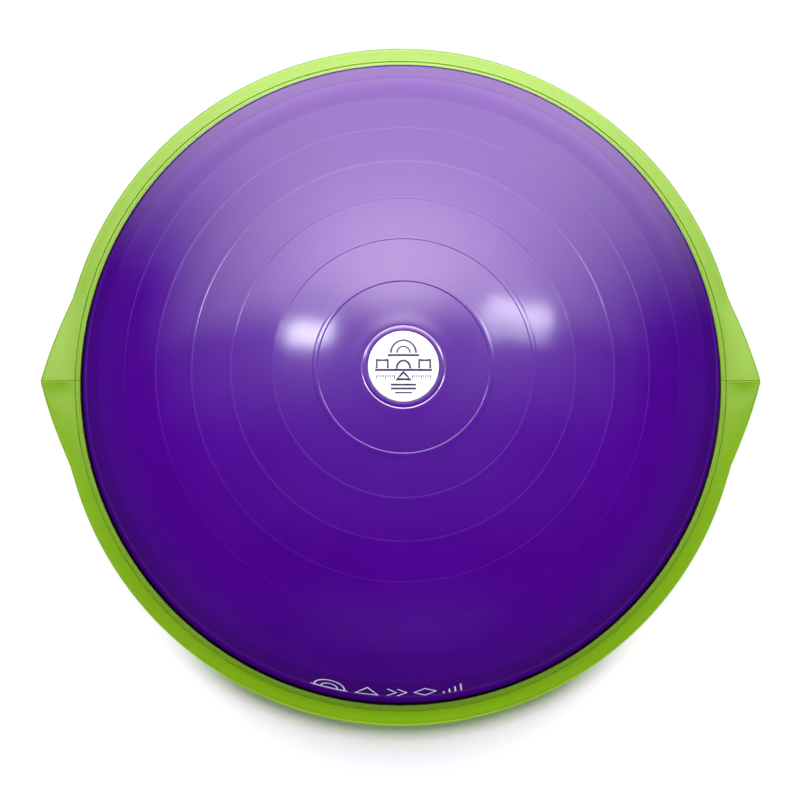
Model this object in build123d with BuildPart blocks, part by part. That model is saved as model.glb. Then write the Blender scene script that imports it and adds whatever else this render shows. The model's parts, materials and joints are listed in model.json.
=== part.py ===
from build123d import *
import math
import os

os.makedirs("parts", exist_ok=True)

# Balance dome trainer: an inflated PVC dome clamped to a rigid round platform with two
# beak-shaped hand grips. Millimetres, +Z up, origin on the floor under the platform's centre.
# The hand grips point along +X and -X; the valve is on the -Y side of the underside.
# Names ending in _Z are heights above the floor, _R radii and _PCR pitch circle radii.

# ------------------------------------------------------------------ driving dimensions
PLATFORM_R = 325.0  # round outer edge of the platform
TIP_X = 344.2  # hand grip tip, from the centre
TIP_SLOPE = 0.26  # how fast a grip's outline falls back from its tip
TIP_CURVE = 0.0013  # and how much it curves
LOBE_DEG = 14.87  # half the angle one grip takes

FOOT_PROUD = 3.0  # rubber feet stand this far below the platform
BASE_BOTTOM = FOOT_PROUD
BASE_FLOOR = 4.0  # thickness of the base shell's floor
FLOOR_TOP_Z = BASE_BOTTOM + BASE_FLOOR
BASE_FLAT_R = 294.0  # flat underside
FLANGE_Z = 27.0  # underside of the base flange, where the rim screws' heads bear
LEDGE_Z = 30.0  # deck plate rests here
PART_LINE_Z = 33.0  # lower edge of the rim cover

DECK_T = 4.0
DECK_R = 320.6
DECK_TOP_Z = LEDGE_Z + DECK_T

DOME_R = 303.0  # dome's outside radius at its widest
DOME_EQUATOR_Z = 55.0
DOME_RISE = 168.0  # from the widest level to the crown
DOME_WALL = 4.0
DOME_INNER_R = DOME_R - DOME_WALL
BEAD_R = 313.2  # clamped bead at the dome's foot
BEAD_BOTTOM = 36.5
BEAD_TOP = 42.5
CHANNEL_R = BEAD_R + 0.3  # outer side of the channel round the bead
SEAL_Z = 35.0  # underside of the gasket below the bead

RIB_FIRST = 73.0  # first raised ring, measured along the dome's surface from the crown
RIB_STEP = 37.2  # spacing of the raised rings along the surface
RIB_COUNT = 7
RIB_R = 1.6  # rounding of a raised ring
RIB_SUNK = 0.75  # how deep a ring's centre lies under the dome's surface

CROWN_RING = 36.0  # small raised ring round the badge, measured along the surface
CROWN_RING_R = 1.8
BADGE_R = 30.2
BADGE_RECESS_R = BADGE_R + 0.3
BADGE_SEAT = 221.6  # flat recess in the crown that the badge sits in
BADGE_EDGE = 223.0
BADGE_TOP = 225.0

LIP_R = 306.0  # rim cover's inner edge, round the dome's foot
LIP_TOP = 48.5
LIP_ROUND = 1.3
GROOVE_R = 310.5  # fine groove between the lip and the sloping band
BAND_R = 310.9
BAND_Z = 48.1
EDGE_Z = 43.5  # where the band meets the rounded outer edge
EDGE_ROUND = 3.5
TIP_EDGE_Z = 46.2  # the same height at a grip's tip
SKIN = 4.2  # rim cover's thickness under the band
WALL = 3.3  # rim cover's outer wall
HOOK_R = BEAD_R + 2.6  # outer side of the hook round the bead
HOOK_Z = 36.2  # underside of the hook and of the screw bosses

SCREW_R = 1.75  # shank radius of both screw lengths
PILOT_R = SCREW_R + 0.05
RIM_HOLE_R = 2.0  # clearance hole for a rim screw
HEAD_R = 3.5
HEAD_H = 2.6
SCREW_COUNT = 16
SCREW_PCR = 317.0
DECK_SCREW_COUNT = 8
DECK_SCREW_PCR = 185.0
DECK_SCREW_Z = 24.0  # where the deck screws' heads bear
FOOT_COUNT = 8
FOOT_PCR = 276.0
FOOT_R = 15.0
FOOT_SUNK = 1.5  # depth of a foot's seat in the underside
FOOT_FIRST_DEG = 180 / FOOT_COUNT

VALVE_Y = -140.0
VALVE_BODY_R = 8.0
VALVE_HOLE_R = 8.1  # in the deck plate and the valve's gasket
VALVE_BORE_R = 4.0
PLUG_R = 3.95


def polar(radius, deg):
    """The point (x, y) at a radius and an angle."""
    angle = math.radians(deg)
    return radius * math.cos(angle), radius * math.sin(angle)


def rim_screw_spots():
    """Rim screw places, half a pitch off the X axis."""
    return PolarLocations(SCREW_PCR, SCREW_COUNT, start_angle=180 / SCREW_COUNT)


def deck_screw_spots():
    return PolarLocations(DECK_SCREW_PCR, DECK_SCREW_COUNT)


def foot_spots():
    return PolarLocations(FOOT_PCR, FOOT_COUNT, start_angle=FOOT_FIRST_DEG)


# ------------------------------------------------------------------ dome shell
# One moulded PVC skin: flattened half ellipsoid, raised rings, a recess in the crown
# and an outward bead at the foot that the rim cover holds down.
def ring_centre(arc):
    """(radius, height) of a raised ring's centre, at a distance along the dome from the crown."""
    travelled, angle, step = 0.0, 0.0, 1e-4
    while travelled < arc:
        travelled += step * math.hypot(DOME_R * math.cos(angle), DOME_RISE * math.sin(angle))
        angle += step
    radius = DOME_R * math.sin(angle)
    height = DOME_EQUATOR_Z + DOME_RISE * math.cos(angle)
    normal = math.atan2(DOME_R * math.cos(angle), DOME_RISE * math.sin(angle))
    return radius - RIB_SUNK * math.cos(normal), height - RIB_SUNK * math.sin(normal)


def ellipse_points(inset, last_deg, count=24):
    """Points on the dome's section, from the widest level up to an angle."""
    angles = [math.radians(last_deg * i / count) for i in range(count + 1)]
    return [
        ((DOME_R - inset) * math.cos(a), DOME_EQUATOR_Z + (DOME_RISE - inset) * math.sin(a))
        for a in angles
    ]


recess_deg = math.degrees(math.acos(BADGE_RECESS_R / DOME_R))
with BuildPart() as dome_shell:
    with BuildSketch(Plane.XZ):
        with BuildLine():
            outside = Spline(*ellipse_points(0, recess_deg), tangents=[(0, 1), (-1, 0.057)])
            inside = Spline(*ellipse_points(DOME_WALL, 90), tangents=[(0, 1), (-1, 0)])
            Polyline(
                outside @ 0,
                (DOME_R, BEAD_TOP),
                (BEAD_R, BEAD_TOP),
                (BEAD_R, BEAD_BOTTOM),
                (DOME_INNER_R, BEAD_BOTTOM),
                inside @ 0,
            )
            Polyline(inside @ 1, (0, BADGE_SEAT), (BADGE_RECESS_R, BADGE_SEAT), outside @ 1)
        make_face()
        # raised rings
        for i in range(RIB_COUNT):
            with Locations(ring_centre(RIB_FIRST + RIB_STEP * i)):
                Circle(RIB_R)
        with Locations(ring_centre(CROWN_RING)):
            Circle(CROWN_RING_R)
    revolve(axis=Axis.Z)

# ------------------------------------------------------------------ badge
# Disc with a gently domed face and a softened rim, in the crown's recess.
badge_crown = BADGE_TOP - BADGE_EDGE
badge_face_edge = (BADGE_R - 0.5, BADGE_EDGE + 0.02)
with BuildPart() as apex_badge:
    with BuildSketch(Plane.XZ):
        with BuildLine():
            Polyline(
                (0, BADGE_TOP),
                (0, BADGE_SEAT),
                (BADGE_R, BADGE_SEAT),
                (BADGE_R, BADGE_EDGE - 0.5),
                (BADGE_R - 0.15, BADGE_EDGE - 0.15),
                badge_face_edge,
            )
            Spline(
                badge_face_edge,
                (BADGE_R * 0.7, BADGE_EDGE + badge_crown * 0.51),
                (BADGE_R * 0.35, BADGE_EDGE + badge_crown * 0.875),
                (0, BADGE_TOP),
                tangents=[(-1, 0.13), (-1, 0)],
            )
        make_face()
    revolve(axis=Axis.Z)


# ------------------------------------------------------------------ rim cover
# One ring round the dome with a hand grip on either side: a rounded lip, a fine groove, a
# sloping band and a rounded outer edge. A hook under the lip holds the dome's bead down.
def grip_radius(deg):
    """Distance from the Z axis to a hand grip's outline, at an angle from its tip."""
    slope = math.tan(math.radians(deg))
    y = 0.0
    # fixed-point steps to where the ray meets x = TIP_X - TIP_SLOPE * y - TIP_CURVE * y^2
    for _ in range(60):
        y = slope * (TIP_X - TIP_SLOPE * y - TIP_CURVE * y * y)
    x = TIP_X - TIP_SLOPE * y - TIP_CURVE * y * y
    return math.hypot(x, y)


def grip_edge_z(deg):
    """Height of the cover's outer edge over a hand grip: highest on the crest, dished beside it."""
    share = min(1.0, deg / LOBE_DEG)
    fall = share * share * (3 - 2 * share)
    dish_depth, dish_deg, dish_width = 1.1, 3.6, 1.8
    dish = dish_depth * math.exp(-(((deg - dish_deg) / dish_width) ** 2))
    return TIP_EDGE_Z + (EDGE_Z - TIP_EDGE_Z) * fall - dish


def sector(deg):
    """The half plane at an angle round the Z axis: local x is the radius, local y is height."""
    x, y = polar(1, deg)
    return Plane(origin=(0, 0, 0), x_dir=(x, y, 0), z_dir=(y, -x, 0))


def cover_section(deg, radius, edge_z):
    """The cover's section in the half plane at an angle, for its edge's radius and height there."""
    corner = radius - EDGE_ROUND
    slope = (BAND_Z - edge_z) / (corner - BAND_R)
    mid = math.sqrt(0.5)  # sine and cosine halfway round a quarter arc
    hook_top = BEAD_TOP + 0.1
    with BuildSketch(sector(deg)) as section:
        with BuildLine():
            Line((LIP_R, hook_top), (LIP_R, LIP_TOP - LIP_ROUND))
            ThreePointArc(
                (LIP_R, LIP_TOP - LIP_ROUND),
                (LIP_R + LIP_ROUND * (1 - mid), LIP_TOP - LIP_ROUND * (1 - mid)),
                (LIP_R + LIP_ROUND, LIP_TOP),
            )
            Polyline(
                (LIP_R + LIP_ROUND, LIP_TOP),
                (GROOVE_R - 0.7, LIP_TOP),
                (GROOVE_R - 0.2, LIP_TOP - 0.5),
                (GROOVE_R, LIP_TOP - 1.2),
                (BAND_R, BAND_Z),
                (corner, edge_z),
            )
            ThreePointArc(
                (corner, edge_z),
                (corner + EDGE_ROUND * mid, edge_z - EDGE_ROUND * (1 - mid)),
                (radius, edge_z - EDGE_ROUND),
            )
            Polyline(
                (radius, edge_z - EDGE_ROUND),
                (radius - 0.4, PART_LINE_Z),
                (radius - WALL, PART_LINE_Z),
                (radius - WALL, edge_z - SKIN),
                (HOOK_R, BAND_Z - slope * (HOOK_R - BAND_R) - SKIN),
                (HOOK_R, HOOK_Z),
                (CHANNEL_R, HOOK_Z),
                (CHANNEL_R, hook_top),
                (LIP_R, hook_top),
            )
        make_face()
    return section.sketch


# (angle, radius, edge height) from a grip's tip to where it leaves the round rim
GRIP_STEPS = (0.0, 1.6, 3.6, 6.0, 9.0, 12.0)
grip = [(deg, grip_radius(deg), grip_edge_z(deg)) for deg in GRIP_STEPS]
grip.append((LOBE_DEG, PLATFORM_R, EDGE_Z))

# the two halves of each grip: angle of its tip, and which way round from there
GRIP_HALVES = [(side, sign) for side in (0, 180) for sign in (1, -1)]

round_sections = [
    cover_section(start, PLATFORM_R, EDGE_Z) for start in (LOBE_DEG, 180 + LOBE_DEG)
]
grip_sections = [
    [cover_section(side + sign * deg, radius, edge_z) for deg, radius, edge_z in grip]
    for side, sign in GRIP_HALVES
]

COVER_BOSS_R = 3.4
COVER_BOSS_H = 6.0
COVER_PILOT_DEPTH = 5.4
with BuildPart() as rim_cover:
    for section in round_sections:
        revolve(section, axis=Axis.Z, revolution_arc=180 - 2 * LOBE_DEG)
    for sections in grip_sections:
        loft(sections)
    # screw bosses, with pilot holes from below
    with BuildSketch(Plane.XY.offset(HOOK_Z)):
        with rim_screw_spots():
            Circle(COVER_BOSS_R)
    extrude(amount=COVER_BOSS_H)
    with BuildSketch(Plane.XY.offset(HOOK_Z)):
        with rim_screw_spots():
            Circle(PILOT_R)
    extrude(amount=COVER_PILOT_DEPTH, mode=Mode.SUBTRACT)

# ------------------------------------------------------------------ gasket under the bead
with BuildPart() as seal_ring:
    with BuildSketch(Plane.XY.offset(SEAL_Z)):
        Circle(BEAD_R - 0.2)
        Circle(DOME_INNER_R + 0.2, mode=Mode.SUBTRACT)
    extrude(amount=BEAD_BOTTOM - SEAL_Z)
    chamfer(seal_ring.edges().filter_by(GeomType.CIRCLE), 0.3)

# ------------------------------------------------------------------ deck plate
# Rigid floor of the air chamber, with a channel for the bead and its gasket.
DECK_EDGE_Z = 36.0  # top of the plate outside the channel
CURB_Z = 41.0  # top of the curb inside the channel
CURB_R = DOME_INNER_R - 0.4
DECK_BOSS_R = 6
DECK_BOSS_H = 8
DECK_PILOT_DEPTH = 9.5

with BuildPart() as deck_plate:
    with BuildSketch(Plane.XZ):
        with BuildLine():
            Polyline(
                (0, LEDGE_Z),
                (DECK_R, LEDGE_Z),
                (DECK_R, DECK_EDGE_Z),
                (CHANNEL_R, DECK_EDGE_Z),
                (CHANNEL_R, SEAL_Z),
                (CURB_R, SEAL_Z),
                (CURB_R, CURB_Z),
                (DOME_INNER_R - 3.4, CURB_Z),
                (DOME_INNER_R - 6.0, DECK_TOP_Z),
                (0, DECK_TOP_Z),
                (0, LEDGE_Z),
            )
        make_face()
    revolve(axis=Axis.Z)
    # blind bosses for the deck screws
    with BuildSketch(Plane.XY.offset(DECK_TOP_Z)):
        with deck_screw_spots():
            Circle(DECK_BOSS_R)
    extrude(amount=DECK_BOSS_H, taper=2)
    with BuildSketch(Plane.XY.offset(LEDGE_Z)):
        with deck_screw_spots():
            Circle(PILOT_R)
        with rim_screw_spots():
            Circle(RIM_HOLE_R)
    extrude(amount=DECK_PILOT_DEPTH, mode=Mode.SUBTRACT)
    # valve hole
    with BuildSketch(Plane.XY.offset(LEDGE_Z)):
        with Locations((0, VALVE_Y)):
            Circle(VALVE_HOLE_R)
    extrude(amount=DECK_T, mode=Mode.SUBTRACT)

# ------------------------------------------------------------------ base shell
# Ribbed tray with a flared wall and a flat underside. Its flange follows the rim cover's
# outline, grips included.
FLANGE_T = 5.6
FLANGE_INSET = 0.4  # from the rim cover's outline
FLANGE_HOLE_R = 306.0
FLANGE_CUT_Z = 20.0  # cuts through the flange start here, clear below it
WALL_TOP_Z = 28.5
BEND_MID = (BASE_FLAT_R + 3.9, BASE_BOTTOM + 0.9)  # rounded corner under the flared wall
BEND_END = (BASE_FLAT_R + 6.6, BASE_BOTTOM + 3.6)
RIB_T = 2.4
RIB_ROOT_Z = FLOOR_TOP_Z - 0.5  # ribs start inside the floor
RIB_H = 29.8 - RIB_ROOT_Z
RING_RIB_RADII = (95.0, DECK_SCREW_PCR, 258.0)
RADIAL_RIB_COUNT = 16
RADIAL_RIB_START, RADIAL_RIB_END = 95.0, 298.0
WELL_R = 7.5
WELL_BORE_R = 4.8
DECK_HOLE_R = 2.3
COLLAR_R = 21
COLLAR_BORE_R = 18
TREAD_RADII = (30, 45, 60, 75, 105, 165, 205, 220, 235, 250)
TREAD_WIDTH, TREAD_DEPTH = 1.6, 0.7

with BuildSketch(Plane.XY.offset(FLANGE_Z)) as flange_outline:
    with BuildLine():
        for side, sign in GRIP_HALVES:
            Polyline(
                *[polar(radius - FLANGE_INSET, side + sign * deg) for deg, radius, _ in grip]
            )
        for middle in (90, 270):
            ThreePointArc(
                polar(PLATFORM_R - FLANGE_INSET, middle - 90 + LOBE_DEG),
                polar(PLATFORM_R - FLANGE_INSET, middle),
                polar(PLATFORM_R - FLANGE_INSET, middle + 90 - LOBE_DEG),
            )
    make_face()

with BuildPart() as base_shell:
    add(flange_outline.sketch)
    extrude(amount=FLANGE_T)
    chamfer(base_shell.faces().sort_by(Axis.Z)[0].outer_wire().edges(), 1.6)
    with BuildSketch(Plane.XY.offset(LEDGE_Z)):
        Circle(DECK_R + 0.5)
    extrude(amount=5.0, mode=Mode.SUBTRACT)
    with BuildSketch(Plane.XY.offset(FLANGE_CUT_Z)):
        Circle(FLANGE_HOLE_R)
    extrude(amount=15.0, mode=Mode.SUBTRACT)
    # floor and flared wall
    with BuildSketch(Plane.XZ):
        with BuildLine():
            Line((0, BASE_BOTTOM), (BASE_FLAT_R, BASE_BOTTOM))
            ThreePointArc((BASE_FLAT_R, BASE_BOTTOM), BEND_MID, BEND_END)
            Polyline(
                BEND_END,
                (312.0, WALL_TOP_Z),
                (307.5, WALL_TOP_Z),
                (297.2, FLOOR_TOP_Z),
                (0, FLOOR_TOP_Z),
                (0, BASE_BOTTOM),
            )
        make_face()
    revolve(axis=Axis.Z)
    # ring ribs and radial ribs under the deck plate
    with BuildSketch(Plane.XY.offset(RIB_ROOT_Z)):
        for radius in RING_RIB_RADII:
            Circle(radius + RIB_T / 2)
            Circle(radius - RIB_T / 2, mode=Mode.SUBTRACT)
    extrude(amount=RIB_H)
    with BuildSketch(Plane.XY.offset(RIB_ROOT_Z)):
        with PolarLocations(
            (RADIAL_RIB_START + RADIAL_RIB_END) / 2,
            RADIAL_RIB_COUNT,
            start_angle=180 / RADIAL_RIB_COUNT,
        ):
            Rectangle(RADIAL_RIB_END - RADIAL_RIB_START, RIB_T)
    extrude(amount=RIB_H)
    # wells for the deck screws, and a collar round the valve
    with BuildSketch(Plane.XY.offset(RIB_ROOT_Z)):
        with deck_screw_spots():
            Circle(WELL_R)
        with Locations((0, VALVE_Y)):
            Circle(COLLAR_R)
    extrude(amount=RIB_H)
    with BuildSketch(Plane.XY.offset(BASE_BOTTOM)):
        with deck_screw_spots():
            Circle(WELL_BORE_R)
    extrude(amount=DECK_SCREW_Z - BASE_BOTTOM, mode=Mode.SUBTRACT)
    with BuildSketch(Plane.XY.offset(BASE_BOTTOM)):
        with deck_screw_spots():
            Circle(DECK_HOLE_R)
        with Locations((0, VALVE_Y)):
            Circle(COLLAR_BORE_R)
    extrude(amount=30.0, mode=Mode.SUBTRACT)
    # rim screw holes
    with BuildSketch(Plane.XY.offset(FLANGE_CUT_Z)):
        with rim_screw_spots():
            Circle(RIM_HOLE_R)
    extrude(amount=14.0, mode=Mode.SUBTRACT)
    # seats and stem holes for the feet
    with BuildSketch(Plane.XY.offset(BASE_BOTTOM)):
        with foot_spots():
            Circle(FOOT_R + 0.2)
    extrude(amount=FOOT_SUNK, mode=Mode.SUBTRACT)
    with BuildSketch(Plane.XY.offset(BASE_BOTTOM)):
        with foot_spots():
            Circle(4.1)
    extrude(amount=6.0, mode=Mode.SUBTRACT)
    # shallow ring grooves in the underside
    with BuildSketch(Plane.XZ):
        for radius in TREAD_RADII:
            with Locations((radius, BASE_BOTTOM)):
                Rectangle(TREAD_WIDTH, 2 * TREAD_DEPTH)
    revolve(axis=Axis.Z, mode=Mode.SUBTRACT)


# ------------------------------------------------------------------ fasteners
def build_screws(spots, bearing_z, shank):
    """Upward screws with tapered, cross-recessed heads under bearing_z; spots makes their places."""
    with BuildPart() as screws:
        with BuildSketch(Plane.XY.offset(bearing_z)):
            with spots():
                Circle(SCREW_R)
        extrude(amount=shank)
        with BuildSketch(Plane.XY.offset(bearing_z)):
            with spots():
                Circle(HEAD_R)
        extrude(amount=-HEAD_H, taper=8)
        with BuildSketch(Plane.XY.offset(bearing_z - HEAD_H)):
            with spots():
                Rectangle(3.8, 0.9)
                Rectangle(0.9, 3.8)
        extrude(amount=1.5, mode=Mode.SUBTRACT)
    return screws


# through the base flange and the deck plate into the rim cover
rim_screws = build_screws(rim_screw_spots, FLANGE_Z, shank=13.4)
# longer, up into the deck plate's blind bosses
deck_screws = build_screws(deck_screw_spots, DECK_SCREW_Z, shank=14.8)

# ------------------------------------------------------------------ feet
# Moulded rubber pads on push-in stems.
PAD_H = FOOT_PROUD + FOOT_SUNK
STEM_R = 4.0
STEM_H = 2.6
BARB_R = 5.2
BARB_H = 3.4


def build_foot(x, y):
    with BuildPart() as foot:
        with BuildSketch(Plane((x, y, 0))):
            Circle(FOOT_R)
        extrude(amount=PAD_H)
        chamfer(foot.edges().group_by(Axis.Z)[0], 0.8)
        with BuildSketch(Plane((x, y, PAD_H))):
            Circle(STEM_R)
        extrude(amount=STEM_H)
        with BuildSketch(Plane((x, y, PAD_H + STEM_H))):
            Circle(BARB_R)
        extrude(amount=BARB_H, taper=22)
        # tread groove in the sole
        with BuildSketch(Plane((x, y, 0))):
            Circle(9.5)
            Circle(8.2, mode=Mode.SUBTRACT)
        extrude(amount=1.0, mode=Mode.SUBTRACT)
    return foot


feet = {
    f"foot_{i + 1}": build_foot(*polar(FOOT_PCR, FOOT_FIRST_DEG + 360 / FOOT_COUNT * i))
    for i in range(FOOT_COUNT)
}

# ------------------------------------------------------------------ valve
# Fitting through the deck plate: flange and gasket inside the chamber, nut below, and a
# push-in plug that comes out downwards.
VALVE_BOTTOM_Z = 17.0
VALVE_GASKET_T = 1.0
VALVE_FLANGE_Z = DECK_TOP_Z + VALVE_GASKET_T
VALVE_FLANGE_R = 13.0
VALVE_FLANGE_T = 2.5
NUT_H = 6.0
NUT_R = 13.5  # across the corners, halved
PLUG_FLANGE_R = 11.0
PLUG_FLANGE_Z = 14.0
PLUG_TOP_Z = 34.3


def valve_plane(z):
    """Level plane on the valve's axis."""
    return Plane((0, VALVE_Y, z))


# upright plane through the valve's axis: local y is height
VALVE_SECTION = Plane((0, VALVE_Y, 0), x_dir=(1, 0, 0), z_dir=(0, -1, 0))

with BuildPart() as valve_body:
    with BuildSketch(valve_plane(VALVE_BOTTOM_Z)):
        Circle(VALVE_BODY_R)
    extrude(amount=VALVE_FLANGE_Z - VALVE_BOTTOM_Z)
    with BuildSketch(valve_plane(VALVE_FLANGE_Z)):
        Circle(VALVE_FLANGE_R)
    extrude(amount=VALVE_FLANGE_T)
    chamfer(valve_body.edges().group_by(Axis.Z)[-1], 0.6)
    with BuildSketch(valve_plane(VALVE_BOTTOM_Z)):
        Circle(VALVE_BORE_R)
    extrude(amount=VALVE_FLANGE_Z + VALVE_FLANGE_T - VALVE_BOTTOM_Z, mode=Mode.SUBTRACT)
    # lead-in at the bore's lower end
    bottom_circles = valve_body.edges().filter_by(GeomType.CIRCLE).group_by(Axis.Z)[0]
    chamfer(bottom_circles.sort_by(SortBy.RADIUS)[0], 0.8)

with BuildPart() as valve_gasket:
    with BuildSketch(valve_plane(DECK_TOP_Z)):
        Circle(VALVE_FLANGE_R - 0.4)
        Circle(VALVE_HOLE_R, mode=Mode.SUBTRACT)
    extrude(amount=VALVE_GASKET_T)

with BuildPart() as valve_nut:
    with BuildSketch(valve_plane(LEDGE_Z - NUT_H)):
        RegularPolygon(NUT_R, 6)
        Circle(VALVE_BODY_R + 0.05, mode=Mode.SUBTRACT)
    extrude(amount=NUT_H)
    chamfer(valve_nut.edges().group_by(Axis.Z)[0].filter_by(GeomType.LINE), 0.7)

with BuildPart() as valve_plug:
    with BuildSketch(VALVE_SECTION):
        with BuildLine():
            Polyline(
                (0, PLUG_FLANGE_Z),
                (PLUG_FLANGE_R - 0.9, PLUG_FLANGE_Z),
                (PLUG_FLANGE_R, PLUG_FLANGE_Z + 0.9),
                (PLUG_FLANGE_R, PLUG_FLANGE_Z + 2.0),
                (PLUG_FLANGE_R - 0.9, PLUG_FLANGE_Z + 2.9),
                (PLUG_R, PLUG_FLANGE_Z + 2.9),
                (PLUG_R, PLUG_TOP_Z - 1.3),
                (PLUG_R - 0.9, PLUG_TOP_Z),
                (0, PLUG_TOP_Z),
                (0, PLUG_FLANGE_Z),
            )
        make_face()
    revolve(axis=Axis((0, VALVE_Y, 0), (0, 0, 1)))
    # pull tab with a slot through it
    with BuildSketch(VALVE_SECTION):
        with Locations((0, 10.2)):
            RectangleRounded(15.0, 9.4, 3.0)
        with Locations((0, 9.3)):
            SlotOverall(8.0, 3.4, mode=Mode.SUBTRACT)
    extrude(amount=1.25, both=True)

# ------------------------------------------------------------------ export
pieces = {
    "dome_shell": dome_shell,
    "apex_badge": apex_badge,
    "rim_cover": rim_cover,
    "seal_ring": seal_ring,
    "deck_plate": deck_plate,
    "base_shell": base_shell,
    "rim_screws": rim_screws,
    "deck_screws": deck_screws,
    **feet,
    "valve_body": valve_body,
    "valve_gasket": valve_gasket,
    "valve_nut": valve_nut,
    "valve_plug": valve_plug,
}
for name, piece in pieces.items():
    piece.part.label = name
    export_step(piece.part, f"parts/{name}.step")
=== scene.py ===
"""Looks for a balance dome trainer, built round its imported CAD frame.

The dome stands upright on its round platform: metres, +Z up, -Y the front. The round badge lies on
the crown, and the platform's two grips point to +X and -X.
"""

import json
import math
from functools import cached_property

import bmesh
import bpy
import numpy as np
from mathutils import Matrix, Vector, noise

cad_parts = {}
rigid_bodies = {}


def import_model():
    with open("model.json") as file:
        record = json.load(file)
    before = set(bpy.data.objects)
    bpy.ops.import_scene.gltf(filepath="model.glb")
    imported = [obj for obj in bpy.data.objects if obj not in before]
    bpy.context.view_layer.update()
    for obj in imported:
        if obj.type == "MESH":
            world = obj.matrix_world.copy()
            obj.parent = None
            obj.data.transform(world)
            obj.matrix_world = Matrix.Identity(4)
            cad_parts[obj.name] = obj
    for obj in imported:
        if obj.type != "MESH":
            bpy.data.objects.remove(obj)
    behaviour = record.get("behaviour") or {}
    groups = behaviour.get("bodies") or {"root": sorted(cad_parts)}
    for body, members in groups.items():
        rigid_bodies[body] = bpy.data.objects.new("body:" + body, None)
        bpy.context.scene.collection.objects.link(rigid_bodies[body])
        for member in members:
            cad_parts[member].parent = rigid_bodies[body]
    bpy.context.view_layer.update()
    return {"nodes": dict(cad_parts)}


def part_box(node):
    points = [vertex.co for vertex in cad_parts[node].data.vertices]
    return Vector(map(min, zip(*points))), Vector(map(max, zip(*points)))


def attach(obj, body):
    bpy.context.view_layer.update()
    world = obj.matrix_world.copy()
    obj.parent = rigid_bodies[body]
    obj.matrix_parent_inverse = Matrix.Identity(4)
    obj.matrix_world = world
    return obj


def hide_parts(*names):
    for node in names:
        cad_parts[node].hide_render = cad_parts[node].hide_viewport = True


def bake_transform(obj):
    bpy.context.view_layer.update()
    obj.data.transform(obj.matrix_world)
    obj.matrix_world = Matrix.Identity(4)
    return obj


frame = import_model()
scene = bpy.context.scene
MM = 0.001


def corners(node):
    """The low and high corners of a CAD piece's box."""
    low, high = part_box(node)
    return Vector(low), Vector(high)


dome_lo, dome_hi = corners("dome_shell")
badge_lo, badge_hi = corners("apex_badge")
rim_lo, rim_hi = corners("rim_cover")

# ------------------------------------------------------------------ dimensions
# dome: half an ellipsoid on a skirt, with a bead round its foot
BEAD_R = dome_hi.x
BEAD_BOTTOM = dome_lo.z
BEAD_TOP = BEAD_BOTTOM + 6.0 * MM
DOME_R = BEAD_R - 10.2 * MM
EQUATOR_Z = BEAD_BOTTOM + 18.5 * MM
RISE = 168.0 * MM
WALL = 4.0 * MM
DOME_AROUND = 288
# moulded rings: arc length from the crown, height as a share of RING_HEIGHT
RINGS = [
    (74.0 * MM, 1.15), (111.4 * MM, 0.62), (149.0 * MM, 0.66),
    (186.0 * MM, 0.68), (222.6 * MM, 0.62), (259.0 * MM, 0.55),
]
RING_HEIGHT = 0.29 * MM
# collar and skirt below the free dome; points are (radius, height)
COLLAR_ARC = 294.5 * MM
COLLAR_STEP = 0.14 * MM
COLLAR_BEND = (287.6 * MM, 105.7 * MM)
COLLAR_EDGE = (293.0 * MM, 95.0 * MM)
SKIRT_FOOT = (301.5 * MM, 55.0 * MM)
TURN_LEAD = 5.1 * MM  # from the bend to the control point of the turn
TURN_SLOPE = math.radians(56.0)
COLLAR_FULLNESS = 0.25 * MM

# badge
BADGE_R = badge_hi.x - 0.6 * MM
BADGE_SEAT = badge_lo.z
BADGE_TOP = badge_hi.z
BADGE_EDGE = BADGE_SEAT + 1.4 * MM
BADGE_AROUND = 144

# rim cover
PLATFORM_R = rim_hi.y
TIP_X = rim_hi.x
PART_LINE_Z = rim_lo.z
LIP_R = 305.0 * MM
LIP_TOP = rim_hi.z
LIP_ROUND = 0.7 * MM
GROOVE_R = 309.9 * MM
BAND_R = 310.3 * MM
BAND_Z = LIP_TOP - 0.4 * MM
BAND_STEPS = 14
EDGE_Z = 43.5 * MM
TIP_EDGE_Z = 46.2 * MM
EDGE_ROUND = 3.5 * MM
GRIP_HALF_DEG = 14.87
GRIP_BLEND = 1.1 * MM  # rounding where a grip runs out into the round rim
CREST_HEIGHT = 1.35 * MM
CREST_LINE = 0.62 * MM  # depth of the fine line along each crest
HOOK_R = BEAD_R + 2.6 * MM
HOOK_Z = 36.2 * MM
HOOK_GAP = 0.3 * MM
COVER_WALL = 3.3 * MM
COVER_DEPTH = 4.2 * MM

# printed ink, in the millimetres of the flat drawings
INK_LIFT = 0.10
INK_SUNK = 0.06
FRONT_LINE = 1.45
FRONT_BASELINE_RUN = 21.2 * MM  # down the collar to the drawing's zero
FRONT_RADIUS = 281.0 * MM  # of the circle the drawing wraps round
FRONT_LIFT_SLOPE = math.radians(34.0)


# ------------------------------------------------------------------ mesh helpers
def make_shell(name, verts, faces, sharp_deg, point_values=None):
    """A smooth-shaded closed mesh with its faces pointing out and optional values per point."""
    mesh = bpy.data.meshes.new(name)
    mesh.from_pydata(verts, [], faces)
    mesh.validate()
    mesh.update()
    mesh.polygons.foreach_set("use_smooth", [True] * len(mesh.polygons))
    mesh.set_sharp_from_angle(angle=math.radians(sharp_deg))
    obj = bpy.data.objects.new(name, mesh)
    scene.collection.objects.link(obj)
    for layer_name, values in (point_values or {}).items():
        layer = mesh.attributes.new(layer_name, "FLOAT", "POINT")
        layer.data.foreach_set("value", values)
    shell = bmesh.new()
    shell.from_mesh(mesh)
    bmesh.ops.recalc_face_normals(shell, faces=shell.faces)
    shell.to_mesh(mesh)
    shell.free()
    mesh.update()
    return obj


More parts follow.
